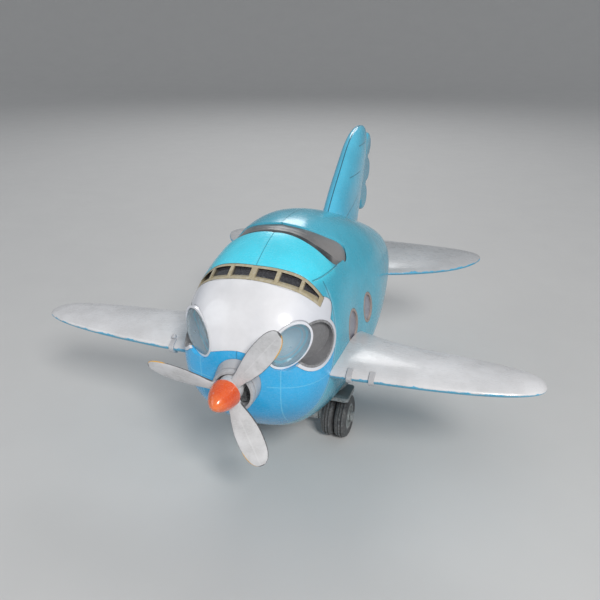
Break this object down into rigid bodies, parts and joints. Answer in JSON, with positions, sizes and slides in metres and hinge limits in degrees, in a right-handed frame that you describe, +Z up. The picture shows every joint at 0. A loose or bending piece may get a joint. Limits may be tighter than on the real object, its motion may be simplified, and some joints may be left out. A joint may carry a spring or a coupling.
{
  "type": "toy airplane",
  "caption": "Chubby push-along toy airplane with a free-spinning propeller, twin main wheels, lamp eyes, cockpit band and a scalloped fin.",
  "frame": {"origin": "on the floor under the middle of the overall box, with the toy standing on its wheels", "axes": "+Z up, -Y towards the propeller, +X towards the toy's own left wing"},
  "size_m": [0.24, 0.24, 0.1436],
  "materials": {
    "blue_shell": "glossy sky-blue moulded plastic with a painted cyan hood",
    "white_panel": "glossy white moulded plastic",
    "wing_white": "glossy white moulded plastic with blue paint along the leading edge",
    "wing_blue": "glossy blue moulded plastic",
    "cream_trim": "semi-gloss cream plastic",
    "dark_glazing": "glossy charcoal tinted plastic",
    "pane_grey": "glossy grey tinted plastic",
    "rim_tan": "satin tan plastic",
    "recess_grey": "satin mid-grey plastic",
    "vent_grey": "satin warm grey plastic",
    "lens_clear": "clear pale blue plastic, polished",
    "reflector": "pale blue-grey moulded reflector",
    "cowl_grey": "light grey semi-gloss plastic",
    "intake_black": "matt black plastic",
    "prop_grey": "light grey plastic with dark painted edges and amber tips",
    "spinner_red": "glossy orange-red plastic",
    "amber": "translucent-looking amber plastic",
    "gear_grey": "satin grey-green plastic",
    "tyre": "dark grey soft rubber",
    "steel": "plain drawn steel",
    "inner_plastic": "unpainted grey plastic, out of sight"
  },
  "bodies": {
    "airframe": {"fuselage_left": "blue_shell", "fuselage_right": "blue_shell", "face_mask": "white_panel", "windshield_frame": "cream_trim", "windshield_glazing": "dark_glazing", "roof_vent": "vent_grey", "nose_cowl": "cowl_grey", "intake_plate": "intake_black", "shaft_bushing": "cowl_grey", "wing_spar": "inner_plastic", "tail_spar": "inner_plastic", "case_screws": "steel", "main_axle": "steel", "axle_caps": "gear_grey", "axle_beam": "gear_grey", "tail_fork": "gear_grey", "tail_lights": "amber", "tail_axle": "steel", "wing_upper_left": "wing_white", "wing_upper_right": "wing_white", "wing_lower_left": "wing_blue", "wing_lower_right": "wing_blue", "stabilizer_upper_left": "wing_white", "stabilizer_upper_right": "wing_white", "stabilizer_lower_left": "wing_blue", "stabilizer_lower_right": "wing_blue", "lamp_bezel_left": "white_panel", "lamp_bezel_right": "white_panel", "lamp_reflector_left": "reflector", "lamp_reflector_right": "reflector", "lamp_lens_left": "lens_clear", "lamp_lens_right": "lens_clear", "cheek_scoop_left": "recess_grey", "cheek_scoop_right": "recess_grey", "gear_leg_left": "gear_grey", "gear_leg_right": "gear_grey", "fin_left": "blue_shell", "fin_right": "blue_shell", "porthole_panes_left": "pane_grey", "porthole_panes_right": "pane_grey", "porthole_rim_front_left": "rim_tan", "porthole_rim_front_right": "rim_tan", "porthole_rim_rear_left": "rim_tan", "porthole_rim_rear_right": "rim_tan", "wing_hooks_left": "cowl_grey", "wing_hooks_right": "cowl_grey"},
    "propeller_unit": {"propeller": "prop_grey", "spinner": "spinner_red", "propeller_shaft": "steel", "shaft_retainer": "inner_plastic"},
    "wheel_inner_left": {"wheel_rim_inner_left": "gear_grey", "tyre_inner_left": "tyre"},
    "wheel_outer_left": {"wheel_rim_outer_left": "gear_grey", "tyre_outer_left": "tyre"},
    "wheel_inner_right": {"wheel_rim_inner_right": "gear_grey", "tyre_inner_right": "tyre"},
    "wheel_outer_right": {"wheel_rim_outer_right": "gear_grey", "tyre_outer_right": "tyre"},
    "tail_wheel": {"tail_wheel_rim": "gear_grey", "tail_wheel_tyre": "tyre"}
  },
  "joints": [
    {"name": "propeller_spin", "type": "hinge", "parent": "airframe", "child": "propeller_unit", "pos_m": [0, -0.1058, 0.0707], "axis": [0, 1, 0], "continuous": true},
    {"name": "wheel_inner_left_spin", "type": "hinge", "parent": "airframe", "child": "wheel_inner_left", "pos_m": [0.0192, -0.0215, 0.0115], "axis": [1, 0, 0], "continuous": true},
    {"name": "wheel_outer_left_spin", "type": "hinge", "parent": "airframe", "child": "wheel_outer_left", "pos_m": [0.0262, -0.0215, 0.0115], "axis": [1, 0, 0], "continuous": true},
    {"name": "wheel_inner_right_spin", "type": "hinge", "parent": "airframe", "child": "wheel_inner_right", "pos_m": [-0.0192, -0.0215, 0.0115], "axis": [1, 0, 0], "continuous": true},
    {"name": "wheel_outer_right_spin", "type": "hinge", "parent": "airframe", "child": "wheel_outer_right", "pos_m": [-0.0262, -0.0215, 0.0115], "axis": [1, 0, 0], "continuous": true},
    {"name": "tail_wheel_spin", "type": "hinge", "parent": "airframe", "child": "tail_wheel", "pos_m": [0, 0.026, 0.008], "axis": [1, 0, 0], "continuous": true}
  ]
}
